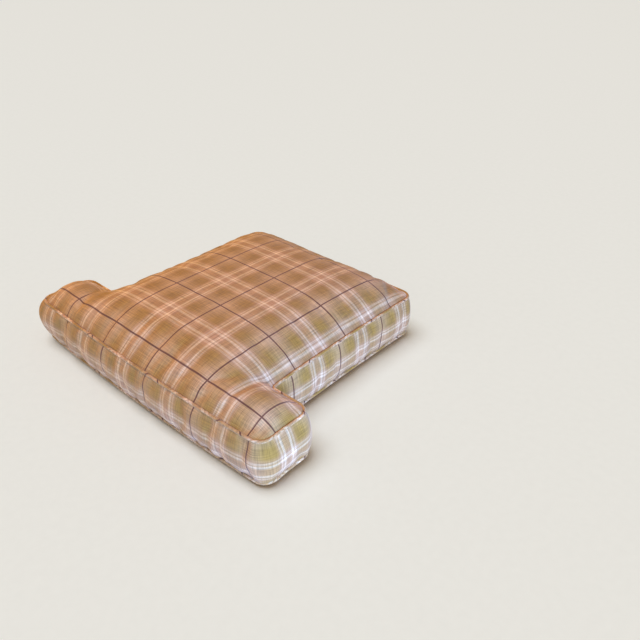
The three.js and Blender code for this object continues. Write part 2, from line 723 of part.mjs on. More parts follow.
for (const [name, side] of [
  ["upper", 1],
  ["lower", -1],
]) {
  const span = (near, far) => [side * near, side * far].sort((a, b) => a - b);
  const tapeEnds = [-TAPE_LENGTH / 2, TAPE_LENGTH / 2];
  const stopStart = CHAIN_LENGTH / 2 + PIECE_GAP;
  const stopEnds = [stopStart, stopStart + STOP_LENGTH];
  add(`zipper_tape_${name}`, zipperBox(tapeEnds, TAPE_OUT, span(...TAPE_SPAN)), "tape");
  add(`zipper_coil_${name}`, coilBar(side), "nylon");
  add(`zipper_top_stop_${name}`, zipperBox(stopEnds, COIL_OUT, span(...COIL_SPAN)), "metal");
}
const bottomStopEnd = -CHAIN_LENGTH / 2 - PIECE_GAP;
const bottomStopSpan = [-COIL_SPAN[1], COIL_SPAN[1]];
add(
  "zipper_bottom_stop",
  zipperBox([bottomStopEnd - STOP_LENGTH, bottomStopEnd], COIL_OUT, bottomStopSpan),
  "metal",
);
add("zipper_slider", slider(), "metal");
add("zipper_pull", pull(), "metal");

// ---- Inner pad ----

const foamBottom = middle - FOAM_HEIGHT / 2;
const foamTop = middle + FOAM_HEIGHT / 2;
add("casing_top", casingPanel(1, topSurface, upperSeam), "cotton");
add("casing_bottom", casingPanel(-1, underSurface, lowerSeam), "cotton");
add("casing_band", sweep(seam, casingBandSection, true), "cotton");
add("fibre_pad_top", fibrePad(1, topSurface, foamTop), "fibre");
add("fibre_pad_bottom", fibrePad(-1, underSurface, foamBottom), "fibre");
add("fibre_band", sweep(seam, fibreBandSection, true), "fibre");

function foamCore() {
  const { points, edge } = teeGrid(FOAM_INSET + FOAM_BEVEL, PLAIN_LINES);
  const shape = new THREE.Shape(edge.map((v) => new THREE.Vector2(...points[v])));
  const geometry = new THREE.ExtrudeGeometry(shape, {
    depth: FOAM_HEIGHT - 2 * FOAM_BEVEL,
    bevelThickness: FOAM_BEVEL,
    bevelSize: FOAM_BEVEL,
    bevelSegments: 2,
  });
  return geometry.translate(0, 0, foamBottom + FOAM_BEVEL);
}
add("foam_core", foamCore(), "foam");

// Front to back, the origin is the middle of the bounding box.
const bounds = new THREE.Box3().setFromObject(cushion);
cushion.position.y = -(bounds.min.y + bounds.max.y) / 2;

export default cushion;
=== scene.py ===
"""A loose T-shaped armchair seat cushion in a plaid cover. Metres, in the CAD model's frame."""

import math

import bpy
import numpy as np
from mathutils import Euler, Matrix, Vector
from mathutils.bvhtree import BVHTree


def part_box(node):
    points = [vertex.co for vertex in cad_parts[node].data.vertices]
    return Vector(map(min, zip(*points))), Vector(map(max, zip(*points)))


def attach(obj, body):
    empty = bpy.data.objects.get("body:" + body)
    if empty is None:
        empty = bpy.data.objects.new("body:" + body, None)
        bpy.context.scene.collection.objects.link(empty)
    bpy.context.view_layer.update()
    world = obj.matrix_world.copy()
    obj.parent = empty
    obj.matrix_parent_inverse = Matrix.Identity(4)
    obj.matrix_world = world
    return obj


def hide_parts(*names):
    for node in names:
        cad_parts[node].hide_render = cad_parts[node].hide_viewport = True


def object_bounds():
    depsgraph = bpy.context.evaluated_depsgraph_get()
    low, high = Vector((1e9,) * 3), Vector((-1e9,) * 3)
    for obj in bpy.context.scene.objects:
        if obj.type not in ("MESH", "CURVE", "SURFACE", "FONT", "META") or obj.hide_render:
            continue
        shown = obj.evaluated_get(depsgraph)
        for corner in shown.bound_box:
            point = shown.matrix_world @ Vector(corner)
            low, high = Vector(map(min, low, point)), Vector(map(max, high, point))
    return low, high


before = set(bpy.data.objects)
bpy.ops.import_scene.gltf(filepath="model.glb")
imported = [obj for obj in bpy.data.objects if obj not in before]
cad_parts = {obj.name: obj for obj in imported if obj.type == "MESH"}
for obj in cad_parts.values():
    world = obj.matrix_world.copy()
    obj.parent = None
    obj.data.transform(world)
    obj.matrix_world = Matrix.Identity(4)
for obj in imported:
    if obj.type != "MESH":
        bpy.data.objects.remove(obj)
cad_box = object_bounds()

# ---- Plan of the seam line, as in the CAD, with y measured back from its front ----
CAD_WELT_RADIUS = 0.0034
TOP_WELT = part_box("top_welt_cover")
BOTTOM_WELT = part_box("bottom_welt_cover")
HALF_FRONT = TOP_WELT[1].x - CAD_WELT_RADIUS
FRONT_Y = TOP_WELT[0].y + CAD_WELT_RADIUS
DEPTH = TOP_WELT[1].y - CAD_WELT_RADIUS - FRONT_Y
HALF_STEM = 0.265
EAR_DEPTH = 0.130
CORNER_RADIUS = 0.028

# How the finished cushion differs from the cutting plan
LEFT_TAKEN_IN = 0.003  # at the ears' ends: the top is drawn in by its crown
RIGHT_TAKEN_IN = 0.007
EAR_PULL = 0.004  # the ears' ends pull in between their corners
SIDE_PULL = 0.005  # and so do the stem's sides
FRONT_BOW = 0.009  # the front's middle stands further forward than its ends
BOW_AT_ENDS = 0.45  # share of the bow by which the ends stand back; the middle has the rest
NOTCH_EASE = 0.0022  # the welt can't turn as sharply as the notches are cut

# ---- Height ----
UPPER_SEAM = (TOP_WELT[0].z + TOP_WELT[1].z) / 2
LOWER_SEAM = (BOTTOM_WELT[0].z + BOTTOM_WELT[1].z) / 2
MIDDLE = (LOWER_SEAM + UPPER_SEAM) / 2
HALF_SPACING = (UPPER_SEAM - LOWER_SEAM) / 2
TOP_CROWN = cad_box[1][2] - UPPER_SEAM
TOP_SHOULDER = 0.044  # the distance from an edge over which the crown rises
LEFT_EAR_SHOULDER = 0.022  # the left ear is the fuller one
RIGHT_EAR_SHOULDER = 0.036
BOTTOM_SHOULDER = 0.020
BOTTOM_FULLNESS = 1.1  # share of the crown's height that there would be without edges
TOP_FULLNESS = 1.01

# ---- Cloth ----
FABRIC = 0.0012
COTTON = 0.0008
CELL = 0.008  # side of a cloth cell
FINE_CELL = 0.85 * CELL  # in the rounded corners
ON_LINE = 0.001  # how close a point is to the line that it lies on, in metres or in shares
TINY = 1e-9  # keeps a division by nothing from failing

# ---- Rear placket: out is measured from the seam line towards the rear ----
PLACKET_HALF = 0.0055  # half the gap between the hems
REAR_BOXING_HALF = 0.231  # half the length of the rear boxing
REAR_SWELL = 0.010
HEM_OUT = 0.0076
HEM_WIDTH = 0.0072
CHAIN_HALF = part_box("zipper_coil_upper")[1].x

# ---- Plaid ----
REPEAT_ACROSS = 0.148
REPEAT_ALONG = 0.163
LINE_X = 0.0427  # where a dark line crosses the top panel, from the middle
LINE_Y = 0.041  # and from the front seam
BOXING_CLOTH_SHIFT = 0.146  # puts the pale stripes of the plaid below the boxing's middle
REAR_CLOTH_SHIFT = 0.05  # the rear and the sides are cut where their stripes fall
SIDE_CLOTH_SHIFT = 0.02


# ---- Plan grid ----


def steps(start, end, size):
    """Evenly spaced values from the start up to, but not at, the end."""
    return list(np.linspace(start, end, max(1, round(abs(end - start) / size)) + 1))[:-1]


def grid_lines():
    """Grid lines of the T, closer in its rounded corners."""
    r = CORNER_RADIUS
    size, fine = CELL, FINE_CELL
    right = (
        steps(0, HALF_STEM - r, size)
        + steps(HALF_STEM - r, HALF_STEM, fine)
        + steps(HALF_STEM, HALF_FRONT - r, size)
        + steps(HALF_FRONT - r, HALF_FRONT, fine)
        + [HALF_FRONT]
    )
    xs = [-x for x in right[:0:-1]] + right
    ys = (
        steps(0, r, fine)
        + steps(r, EAR_DEPTH - r, size)
        + steps(EAR_DEPTH - r, EAR_DEPTH, fine)
        + steps(EAR_DEPTH, DEPTH - r, size)
        + steps(DEPTH - r, DEPTH, fine)
        + [DEPTH]
    )
    return np.array(xs), np.array(ys)


def rounded(x, y):
    """Bends the square at each outer corner of the T into a quarter disc."""
    r = CORNER_RADIUS
    for corner_x, corner_y, side in (
        (HALF_FRONT, 0, -1),
        (HALF_FRONT, EAR_DEPTH, 1),
        (HALF_STEM, DEPTH, 1),
    ):
        u = (abs(x) - corner_x + r) / r
        v = (side * (y - corner_y) + r) / r
        if 0 < u < 1 + ON_LINE and 0 < v < 1 + ON_LINE:
            across = corner_x - r + r * u * math.sqrt(1 - v * v / 2)
            along = corner_y - side * r + side * r * v * math.sqrt(1 - u * u / 2)
            return math.copysign(across, x), along
    return x, y


def tee_grid():
    """The T's points, its cells, and its edge as point numbers, anticlockwise from the front left."""
    xs, ys = grid_lines()
    ear = int(np.argmin(abs(ys - EAR_DEPTH)))
    left, right = (int(np.argmin(abs(xs - x))) for x in (-HALF_STEM, HALF_STEM))
    last_x, last_y = len(xs) - 1, len(ys) - 1
    numbers, points = {}, []
    for i, x in enumerate(xs):
        for j, y in enumerate(ys):
            if j <= ear or left <= i <= right:
                numbers[i, j] = len(points)
                points.append(rounded(x, y))
    cells = []
    for i in range(last_x):
        for j in range(last_y):
            cell = [(i, j), (i + 1, j), (i + 1, j + 1), (i, j + 1)]
            if all(corner in numbers for corner in cell):
                cells.append([numbers[corner] for corner in cell])
    turns = [(0, 0), (last_x, 0), (last_x, ear), (right, ear)]
    turns += [(right, last_y), (left, last_y), (left, ear), (0, ear)]
    edge = []
    for (i, j), (to_i, to_j) in zip(turns, turns[1:] + turns[:1]):
        count = max(abs(to_i - i), abs(to_j - j))
        step = (np.sign(to_i - i), np.sign(to_j - j))
        edge += [numbers[i + step[0] * n, j + step[1] * n] for n in range(count)]
    return np.array(points), cells, edge


def is_rear(point):
    """Whether a point of the seam belongs to the rear boxing."""
    return point[1] > DEPTH - ON_LINE and abs(point[0]) < REAR_BOXING_HALF


def crown(points, shoulder, fullness, left_ear=None, right_ear=None):
    """Share of its full height that a panel reaches: each edge of the T holds it down."""
    x, y = points[:, 0], points[:, 1]
    share = np.full(len(points), fullness)
    behind_ears = np.maximum(y - EAR_DEPTH, 0)
    before_notches = np.maximum(EAR_DEPTH - y, 0)
    rises = [(y, shoulder), (DEPTH - y, shoulder)]
    for across, ear_shoulder in ((x, right_ear), (-x, left_ear)):
        rises.append((np.hypot(HALF_FRONT - across, behind_ears), ear_shoulder or shoulder))
        rises.append((np.hypot(np.maximum(HALF_STEM - across, 0), before_notches), shoulder))
    for distance, reach in rises:
        share *= 1 - np.exp(-np.maximum(distance, 0) / reach)
    return np.minimum(share, 1)


def seamed(points, edge, height, falloff=1.5 * CELL):
    """Brings the crown down to nothing along the seam, also round the corners."""
    away = np.linalg.norm(points[:, None, :] - points[edge][None, :, :], axis=2)
    nearest = away.argmin(axis=1)
    left_over = height[edge][nearest]
    return height - left_over * np.exp(-away.min(axis=1) / falloff)


# ---- The cover's shape: top panel, boxing and bottom panel on one mesh ----

LEVELS_EACH_SIDE = 9
PLACKET_ANGLE = math.asin(PLACKET_HALF / HALF_SPACING)
UPPER_LEVELS = HALF_SPACING * np.sin(np.linspace(math.pi / 2, PLACKET_ANGLE, LEVELS_EACH_SIDE))
BOXING_LEVELS = np.concatenate([UPPER_LEVELS, -UPPER_LEVELS[::-1]])

NOTCH_SWELL = 0.003
RIGHT_CORNER_SWELL = 0.011
LEFT_CORNER_SWELL = 0.022
FRONT_SWELL = 0.0148
LEFT_EAR_SWELL = 0.024
RIGHT_EAR_SWELL = 0.014
LEFT_EAR_HEAVY_TOP = 0.5  # share by which it swells more near its top seam, and less near the other
SIDE_SWELL = 0.0112
SWELL_START = 0.75  # a half would be an ellipse; more than that lies back beside the welts
EAR_BACK_REACH = 0.08  # from a notch to where an ear's back swells as much as its corner
SIDE_REACH = 0.10  # from a notch to where the side's swell is full
BACK_BEFORE = 0.012  # an ear's back begins this far round its corner, before the back line
BACK_INSIDE = 0.008  # and this far inside its end line
REAR_BLEND = (0.05, 0.04)  # how far before the rear the side's swell starts to change, and for how long
SWELL_ROUNDS = 3  # of smoothing
HEAVY_TOP_ROUNDS = 8


def share_of_swell(level):
    """Share of its full swell that the boxing has at a level, counted from its middle."""
    return (1 - (level / HALF_SPACING) ** 2) ** SWELL_START


def wall_swell(points):
    """How far the boxing swells past the seam at each point of the seam."""
    x, y = np.abs(points[:, 0]), points[:, 1]
    notch = NOTCH_SWELL
    blend_start, blend_length = REAR_BLEND
    on_left = points[:, 0] < 0
    corner = np.where(on_left, LEFT_CORNER_SWELL, RIGHT_CORNER_SWELL)
    end_share = np.clip((x - HALF_STEM) / (HALF_FRONT - HALF_STEM), 0, 1) ** 2
    front = FRONT_SWELL + (corner - FRONT_SWELL) * end_share
    fullest = np.where(on_left, LEFT_EAR_SWELL, RIGHT_EAR_SWELL)
    along_ear = np.clip(y / EAR_DEPTH, 0, 1)
    ear_side = corner + (fullest - corner) * 4 * along_ear * (1 - along_ear)
    ear_back = notch + (corner - notch) * np.clip((x - HALF_STEM) / EAR_BACK_REACH, 0, 1)
    side = notch + (SIDE_SWELL - notch) * np.clip((y - EAR_DEPTH) / SIDE_REACH, 0, 1)
    swell = np.where(y < 0.5 * CORNER_RADIUS, front, ear_side)
    on_back = (y > EAR_DEPTH - BACK_BEFORE) & (y < EAR_DEPTH + ON_LINE) & (x < HALF_FRONT - BACK_INSIDE)
    swell = np.where(on_back, ear_back, swell)
    on_side = (y > EAR_DEPTH + ON_LINE) & (x < HALF_STEM + ON_LINE)
    blend = np.clip((y - (DEPTH - blend_start)) / blend_length, 0, 1)
    return np.where(on_side, side + (REAR_SWELL - side) * blend, swell)


def drawn_in(plan, left, right):
    """Moves the plan from its cut shape to its finished one. left and right are for the ears' ends."""
    x, y = plan[:, 0], plan[:, 1]
    taken_in = np.where(x < 0, left, right)
    in_ear = np.clip((np.abs(x) - HALF_STEM) / (HALF_FRONT - HALF_STEM), 0, 1)
    ear_share = np.clip(y / EAR_DEPTH, 0, 1)
    inwards = in_ear * (taken_in + EAR_PULL * 4 * ear_share * (1 - ear_share))
    stem_share = np.clip((y - EAR_DEPTH) / (DEPTH - EAR_DEPTH), 0, 1)
    inwards += SIDE_PULL * 4 * stem_share * (1 - stem_share) * (x / HALF_STEM) ** 2 * (in_ear == 0)
    bow = 1 - (x / HALF_FRONT) ** 2 - BOW_AT_ENDS
    forwards = FRONT_BOW * bow * np.clip(1 - y / EAR_DEPTH, 0, 1)
    return np.column_stack([x - np.sign(x) * inwards, y - forwards])


def smoothed(values, rounds):
    """A closed run of values, each pulled towards its neighbours."""
    for _ in range(rounds):
        values = (np.roll(values, 1, 0) + 2 * values + np.roll(values, -1, 0)) / 4
    return values


def outwards(loop):
    """Unit vectors in the plan that point out of a closed anticlockwise loop."""
    along = np.roll(loop, -1, 0) - np.roll(loop, 1, 0)
    along /= np.linalg.norm(along, axis=1)[:, None]
    return np.stack([along[:, 1], -along[:, 0]], axis=1)


def lengths_along(loop):
    """Distance of each point of a closed loop from its first, and the whole length."""
    gaps = np.linalg.norm(np.roll(loop, -1, 0) - loop, axis=1)
    return np.concatenate([[0], np.cumsum(gaps)[:-1]]), gaps.sum()


class Cover:
    """The cover's points, faces, cloth coordinates and panel names."""

    def __init__(self):
        plan, cells, edge = tee_grid()
        plan = self.eased_notches(plan)
        top_share = crown(plan, TOP_SHOULDER, TOP_FULLNESS, LEFT_EAR_SHOULDER, RIGHT_EAR_SHOULDER)
        top = TOP_CROWN * seamed(plan, edge, top_share)
        under = LOWER_SEAM * seamed(plan, edge, crown(plan, BOTTOM_SHOULDER, BOTTOM_FULLNESS))
        upper_plan = drawn_in(plan, LEFT_TAKEN_IN, RIGHT_TAKEN_IN)
        lower_plan = drawn_in(plan, 0, 0)
        count = len(plan)
        self.points = [
            *np.column_stack([upper_plan, UPPER_SEAM + top]),
            *np.column_stack([lower_plan, LOWER_SEAM - under]),
        ]
        self.faces = []
        self.cloth = []  # cloth coordinates of each face's corners
        self.panel = []
        self.plan_seam = plan[edge]
        self.upper_seam = upper_plan[edge]
        self.lower_seam = lower_plan[edge]
        for cell in cells:
            flat = [plan[v] - [LINE_X, LINE_Y] for v in cell]
            self.add_face(cell, flat, "top_panel")
            self.add_face([v + count for v in cell[::-1]], flat[::-1], "bottom_panel")
        self.rows = self.boxing_rows(edge, [v + count for v in edge])
        self.add_boxing()
        self.points = np.array(self.points)
        self.points[:, 1] += FRONT_Y

    @staticmethod
    def eased_notches(plan):
        """Rounds the inside corners of the T a little, as the welt does."""
        plan = plan.copy()
        near = np.hypot(abs(plan[:, 0]) - HALF_STEM, plan[:, 1] - EAR_DEPTH) < ON_LINE
        plan[near] += np.sign(plan[near][:, :1]) * [NOTCH_EASE, 0] + [0, NOTCH_EASE]
        return plan

    def add_face(self, corners, cloth, panel):
        self.faces.append(list(corners))
        self.cloth.append(cloth)
        self.panel.append(panel)

    def boxing_rows(self, upper, lower):
        """Adds the boxing's points, level by level. Returns all rows, from seam to seam."""
        swell = smoothed(wall_swell(self.plan_seam), SWELL_ROUNDS)
        outward = outwards(self.plan_seam)
        x, y = self.plan_seam[:, 0], self.plan_seam[:, 1]
        in_left_ear = (y <= EAR_DEPTH) * np.clip((-x - HALF_STEM) / (HALF_FRONT - HALF_STEM), 0, 1)
        heavy_top = smoothed(LEFT_EAR_HEAVY_TOP * in_left_ear, HEAVY_TOP_ROUNDS)
        rows = [list(upper)]
        for level in BOXING_LEVELS[1:-1]:
            out = swell * share_of_swell(level)
            out *= 1 + heavy_top * level / HALF_SPACING
            down = (HALF_SPACING - level) / (2 * HALF_SPACING)
            seam = self.upper_seam * (1 - down) + self.lower_seam * down
            start = len(self.points)
            ring = seam + outward * out[:, None]
            self.points += list(np.column_stack([ring, np.full(len(ring), MIDDLE + level)]))
            rows.append(list(range(start, len(self.points))))
        return rows + [list(lower)]

    def add_boxing(self):
        """Adds the boxing's faces. Its cloth runs along the seam, and down its swollen section."""
        along, whole = lengths_along(self.plan_seam)
        along_next = np.append(along[1:], whole)
        out = FRONT_SWELL * share_of_swell(BOXING_LEVELS)
        heights = -np.concatenate([[0], np.cumsum(np.hypot(np.diff(out), np.diff(BOXING_LEVELS)))])
        rows = self.rows
        for n in range(len(along)):
            m = (n + 1) % len(along)
            panel = self.boxing_panel((self.plan_seam[n] + self.plan_seam[m]) / 2)
            for r in range(len(rows) - 1):
                corners = [rows[r][n], rows[r + 1][n], rows[r + 1][m], rows[r][m]]
                u = [along[n], along[n], along_next[n], along_next[n]]
                v = [heights[r], heights[r + 1], heights[r + 1], heights[r]]
                self.add_face(corners, self.boxing_cloth(u, v, panel), panel)

    @staticmethod
    def boxing_panel(middle):
        x, y = middle
        if y <= EAR_DEPTH + ON_LINE:
            return "front_boxing"
        if is_rear(middle):
            return "rear_boxing"
        return "right_side_boxing" if x > 0 else "left_side_boxing"

    @staticmethod
    def boxing_cloth(u, v, panel):
        """The front boxing carries on the top panel's lines; the others are cut where they fall."""
        shifts = {"front_boxing": -HALF_FRONT - LINE_X, "rear_boxing": REAR_CLOTH_SHIFT}
        shift = shifts.get(panel, SIDE_CLOTH_SHIFT)
        return [np.array([a + shift, b + BOXING_CLOTH_SHIFT]) for a, b in zip(u, v)]

    def held_points(self):
        """The points that don't give: both seams, and the hems on either side of the zipper."""
        held = set(self.rows[0]) | set(self.rows[-1])
        behind = [is_rear(point) for point in self.plan_seam]
        for row in (self.rows[LEVELS_EACH_SIDE - 1], self.rows[LEVELS_EACH_SIDE]):
            held |= {v for v, at_rear in zip(row, behind) if at_rear}
        return sorted(held)

    def seam_lines(self):
        return [self.points[self.rows[0]], self.points[self.rows[-1]]]


# ---- Cloth: how the cover settles over the pad ----

PRESSURE = 4
SPARE_CLOTH = 0.035  # share by which the cloth is cut larger than the shape it settles on
SETTLING_FRAMES = 20
WRINKLE_ROUNDS = 45  # of averaging, which leaves the broad shape and takes the wrinkles out
BROAD_SHARE = 0.25  # of the broad swelling that stays
MOST_MOVEMENT = 0.006


def simulated(points, faces, held):
    """Where the cloth goes when the pad presses it outwards and the held points stay put."""
    made = new_object("settling", points, faces)
    made.vertex_groups.new(name="held").add(held, 1.0, "REPLACE")
    settling = made.modifiers.new("cloth", "CLOTH")
    settling.point_cache.frame_start = 1
    settling.point_cache.frame_end = SETTLING_FRAMES
    settings = settling.settings
    settings.quality = 5
    settings.mass = 0.25
    settings.tension_stiffness = 20
    settings.compression_stiffness = 20
    settings.shear_stiffness = 8
    settings.bending_stiffness = 0.3
    settings.vertex_group_mass = "held"
    settings.shrink_min = -SPARE_CLOTH
    settings.use_pressure = True
    settings.uniform_pressure_force = PRESSURE
    settings.effector_weights.gravity = 0
    for number in range(1, SETTLING_FRAMES + 1):
        bpy.context.scene.frame_set(number)
    evaluated = made.evaluated_get(bpy.context.evaluated_depsgraph_get())
    places = np.zeros(len(points) * 3, np.float32)
    evaluated.data.vertices.foreach_get("co", places)
    bpy.data.objects.remove(made)
    bpy.context.scene.frame_set(1)
    return places.reshape(-1, 3).astype(float)


def averaged(moves, faces, held, rounds):
    """Each point's move, averaged with its neighbours' over and over. Held points stay still."""
    pairs = np.array([(a, b) for face in faces for a, b in zip(face, face[1:] + face[:1])])
    count = np.bincount(pairs[:, 0], minlength=len(moves))[:, None]
    moves = moves.copy()
    for _ in range(rounds):
        around = [
            np.bincount(pairs[:, 0], weights=moves[pairs[:, 1], axis], minlength=len(moves))
            for axis in range(3)
        ]
        moves = (moves + np.column_stack(around) / count) / 2
        moves[held] = 0
    return moves


def settled(points, faces, held):
    """The cover with the wrinkles that the simulation gives it, and a little of its swelling."""
    moves = simulated(points, faces, held) - points
    broad = averaged(moves, faces, held, WRINKLE_ROUNDS)
    moves = moves - (1 - BROAD_SHARE) * broad
    length = np.maximum(np.linalg.norm(moves, axis=1), TINY)[:, None]
    return points + moves * (MOST_MOVEMENT * np.tanh(length / MOST_MOVEMENT) / length)


def normals_of(points, faces):
    """Outward unit vectors at the points of a mesh of four-sided faces."""
    corners = points[np.array(faces)]
    flat = np.cross(corners[:, 2] - corners[:, 0], corners[:, 3] - corners[:, 1])
    total = np.zeros_like(points)
    for corner in range(4):
        np.add.at(total, np.array(faces)[:, corner], flat)
    return total / np.maximum(np.linalg.norm(total, axis=1), TINY)[:, None]


FLATTENED = 0.0003  # how close the bottom lies to what flattens it
PUCKER_DEPTH = 0.0009
PUCKER_REACH = 0.007  # from the seam to where its puckers are deepest
PUCKER_SPACING = 0.021
PUCKER_STAGGER = 0.011  # between the two sides of a seam
PUCKER_BEATS = [(1.7, 0.022, 1), (0.9, 0.0094, 2)]  # size, length and start of each
PUCKER_FADE = 0.35  # share by which they come and go along the seam
PUCKER_FADE_LENGTH = 0.051


def puckered(points, faces, seams):
    """Small gathers beside the seams, uneven along them and gone a few centimetres away."""
    normals = normals_of(points, faces)
    made = points.copy()
    for seam in seams:
        along, _ = lengths_along(seam)
        gaps = np.linalg.norm(points[:, None, :] - seam[None, :, :], axis=2)
        nearest, away = gaps.argmin(axis=1), gaps.min(axis=1)
        place = along[nearest] + PUCKER_STAGGER * (points[:, 2] > seam[0, 2])
        beat = sum(size * np.sin(place / length + start) for size, length, start in PUCKER_BEATS)
        wave = np.sin(2 * math.pi * place / PUCKER_SPACING + beat)
        strength = 1 - PUCKER_FADE + PUCKER_FADE * np.sin(place / PUCKER_FADE_LENGTH)
        reach = away / PUCKER_REACH
        depth = PUCKER_DEPTH * strength * wave * reach * np.exp(1 - reach)
        made += normals * depth[:, None]
    return made


# ---- Meshes ----


def new_object(name, points, faces, cloth=None, smooth=True):
    mesh = bpy.data.meshes.new(name)
    mesh.from_pydata([tuple(p) for p in points], [], [tuple(f) for f in faces])
    if cloth is not None:
        layer = mesh.uv_layers.new(name="cloth")
        layer.data.foreach_set("uv", np.array(cloth, np.float32).ravel())
    if smooth:
        mesh.shade_smooth()
    made = bpy.data.objects.new(name, mesh)
    bpy.context.collection.objects.link(made)
    return made


def panel_object(name, points, faces, cloth, thickness=FABRIC, levels=1):
    """One panel of cloth: its own points, rounded off, with its thickness inwards."""
    used = sorted({v for face in faces for v in face})
    renumber = {v: n for n, v in enumerate(used)}
    made = new_object(
        name,
        points[used],
        [[renumber[v] for v in face] for face in faces],
        [corner for face in cloth for corner in face],
    )
    if levels:
        subdivide = made.modifiers.new("rounding", "SUBSURF")
        subdivide.levels = subdivide.render_levels = levels
        subdivide.uv_smooth = "NONE"
    solid = made.modifiers.new("thickness", "SOLIDIFY")
    solid.thickness = thickness
    solid.offset = -1
    return made


# ---- Materials ----


def srgb(text):
    """A linear colour from a hexadecimal display colour."""
    values = [int(text[i : i + 2], 16) / 255 for i in (0, 2, 4)]
    return tuple(v / 12.92 if v <= 0.04045 else ((v + 0.055) / 1.055) ** 2.4 for v in values) + (1,)


class Nodes:
    """A small helper that adds and links shader nodes."""

    def __init__(self, name):
        self.material = bpy.data.materials.new(name)
        self.material.use_nodes = True
        self.tree = self.material.node_tree
        self.shader = self.tree.nodes["Principled BSDF"]

    def add(self, kind, **settings):
        node = self.tree.nodes.new(kind)
        for key, value in settings.items():
            setattr(node, key, value)
        return node

    def put(self, socket, value):
        """Links a socket to another one, or sets its value."""
        if isinstance(value, bpy.types.NodeSocket):
            self.tree.links.new(value, socket)
        else:
            socket.default_value = value

    def fill(self, node, values):
        """Puts values or links on a node's sockets, by the sockets' names."""
        for name, value in values.items():
            self.put(node.inputs[name], value)
        return node

    def surface(self, values):
        self.fill(self.shader, values)
        return self.material

    def place(self):
        return self.add("ShaderNodeTexCoord").outputs["Object"]

    def math(self, operation, a, b=0.0, c=0.0):
        node = self.add("ShaderNodeMath", operation=operation)
        for socket, value in zip(node.inputs, (a, b, c)):
            self.put(socket, value)
        return node.outputs[0]

    def vector_math(self, operation, *values):
        node = self.add("ShaderNodeVectorMath", operation=operation)
        for socket, value in zip(node.inputs, values):
            self.put(socket, value)
        return node.outputs[0]

    def mix(self, share, a, b, blend="MIX"):
        node = self.add("ShaderNodeMix", data_type="RGBA", blend_type=blend)
        return self.fill(node, {"Factor": share, "A": a, "B": b}).outputs["Result"]

    def noise(self, vector, scale, detail=2.0, roughness=0.5, output="Fac"):
        values = {"Vector": vector, "Scale": scale, "Detail": detail, "Roughness": roughness}
        return self.fill(self.add("ShaderNodeTexNoise"), values).outputs[output]

    def strands(self, vector, factors, detail, roughness=0.5):
        """Noise that is drawn out into strands."""
        drawn_out = self.vector_math("MULTIPLY", vector, factors)
        return self.noise(drawn_out, 1.0, detail, roughness)

    def bump(self, height, distance, strength=1.0):
        values = {"Strength": strength, "Distance": distance, "Height": height}
        return self.fill(self.add("ShaderNodeBump"), values).outputs["Normal"]


# Colours of the yarns
GROUND = srgb("c7a277")
OLIVE = srgb("a6803c")
CREAM = srgb("f0d6b1")
ROSE = srgb("bf946d")
PLUM = srgb("562a22")

# Half a repeat of the stripes, in shares of a whole one: where each ends, how softly, its yarn.
HALF_REPEAT = [
    (0.130, 0.150, GROUND),
    (0.345, 0.070, OLIVE),
    (0.368, 0.010, ROSE),
    (0.390, 0.012, CREAM),
    (0.410, 0.010, ROSE),
    (0.446, 0.020, CREAM),
    (0.500, 0.010, ROSE),
]
DARK_HALF_WIDTH = 0.0016  # of the dark line, in metres
DARK_EDGE = 0.0008


def stripes(nodes, coordinate, repeat):
    """The yarn colour across a stripe repeat that mirrors about its dark line, and the line."""
    turns = nodes.math("DIVIDE", coordinate, repeat)
    folded = nodes.math("PINGPONG", turns, 0.5)
    ramp = nodes.add("ShaderNodeValToRGB")
    stops = [(0, GROUND)]
    for (end, fade, color), (_, _, following) in zip(HALF_REPEAT, HALF_REPEAT[1:]):
        stops += [(end - fade / 2, color), (end + fade / 2, following)]
    elements = ramp.color_ramp.elements
    elements[0].position, elements[0].color = stops[0]
    elements[1].position, elements[1].color = stops[-1]
    for position, color in stops[1:-1]:
        elements.new(position).color = color
    nodes.put(ramp.inputs["Fac"], folded)
    inside = nodes.math("SUBTRACT", DARK_HALF_WIDTH / repeat, folded)
    dark = nodes.math("MULTIPLY_ADD", inside, repeat / DARK_EDGE, 0.5)
    return ramp.outputs["Color"], nodes.math("MINIMUM", nodes.math("MAXIMUM", dark, 0.0), 1.0)


YARN = 0.0009  # spacing of the yarns
THICK_YARN = 0.0026  # and of the thicker, uneven ones among them
SLUBS_PER_METRE = 18  # changes from light to dark along a yarn
THICK_SLUBS_PER_METRE = 30
SLUB_CONTRAST = 0.9
THICK_CONTRAST = 0.55
WAVER = 0.003  # how far the stripes wander from straight lines
TWILL_YARNS = 2.2  # from one diagonal rib to the next
TWILL_CONTRAST = 0.22
DARK_SHARE = 0.85  # of plum yarn in a dark line


def cloth_coordinates(nodes, turned):
    """Metres along the yarns. turned is the angle of the cut against them."""
    uv = nodes.add("ShaderNodeUVMap", uv_map="cloth").outputs[0]
    if not turned:
        return uv
    rotate = nodes.add("ShaderNodeVectorRotate", rotation_type="Z_AXIS")
    return nodes.fill(rotate, {"Vector": uv, "Angle": turned}).outputs[0]


def crossed_yarns(nodes, uv, spacing, per_metre):
    """Noise in yarns of both directions. It varies about 1."""
    across = nodes.strands(uv, (1 / spacing, per_metre, 0), 1.0)
    along = nodes.strands(uv, (per_metre, 1 / spacing, 0), 1.0)
    return nodes.math("ADD", across, along)


